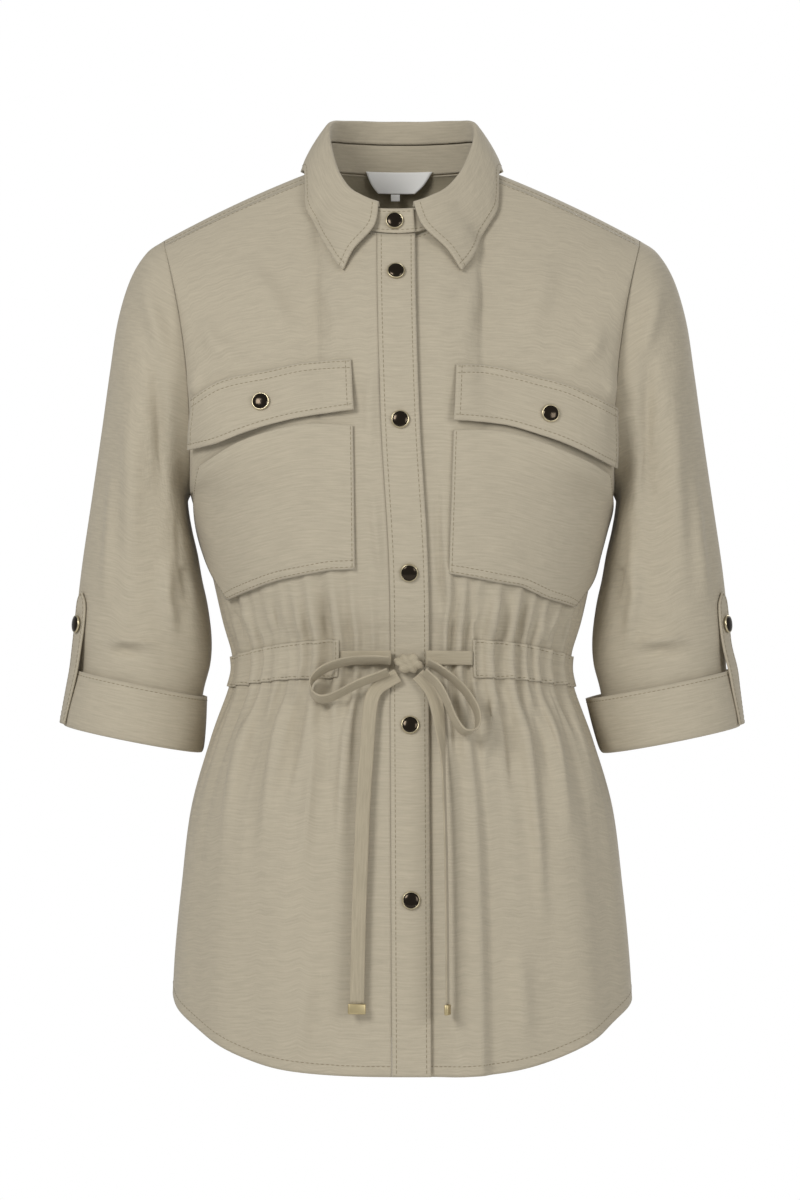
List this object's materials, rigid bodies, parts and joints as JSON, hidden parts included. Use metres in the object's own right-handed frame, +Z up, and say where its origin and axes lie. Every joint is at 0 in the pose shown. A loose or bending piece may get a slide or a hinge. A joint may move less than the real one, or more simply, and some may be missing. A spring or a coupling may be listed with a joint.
{
  "type": "cargo jacket",
  "caption": "Light snap-front cargo jacket with a shirt collar, turned-up sleeves on tabs, flap chest pockets, a drawstring waist and a curved hem.",
  "frame": {"origin": "between the shoulders at neck height, on the neck opening's axis, where a hanger or a stand's neck holds the jacket", "axes": "+X to the wearer's left, +Y to the wearer's back, +Z up"},
  "size_m": [0.5483, 0.2865, 0.7543],
  "materials": {
    "twill": "matt light khaki twill with a faint slub",
    "snap_metal": "dark glossy cap in a pale rim",
    "tip_metal": "matt pale gold",
    "label_cloth": "bare pale satin weave"
  },
  "bodies": {
    "root": {"front_right": "twill", "front_left": "twill", "back": "twill", "placket": "twill", "collar_stand": "twill", "collar_leaf": "twill", "waist_casing": "twill", "bow_knot": "twill", "sleeve_right": "twill", "sleeve_left": "twill", "cuff_right": "twill", "cuff_left": "twill", "sleeve_tab_right": "twill", "sleeve_tab_left": "twill", "pocket_right": "twill", "pocket_left": "twill", "pocket_flap_right": "twill", "pocket_flap_left": "twill", "drawstring_run_right": "twill", "drawstring_run_left": "twill", "bow_loop_right": "twill", "bow_loop_left": "twill", "drawstring_tail_right": "twill", "drawstring_tail_left": "twill", "snap_stand": "snap_metal", "snap_placket_1": "snap_metal", "snap_placket_2": "snap_metal", "snap_placket_3": "snap_metal", "snap_placket_4": "snap_metal", "snap_placket_5": "snap_metal", "snap_flap_right": "snap_metal", "snap_flap_left": "snap_metal", "snap_tab_right": "snap_metal", "snap_tab_left": "snap_metal", "drawstring_tip_right": "tip_metal", "drawstring_tip_left": "tip_metal", "neck_label": "label_cloth", "neck_label_tab": "label_cloth"}
  },
  "joints": []
}
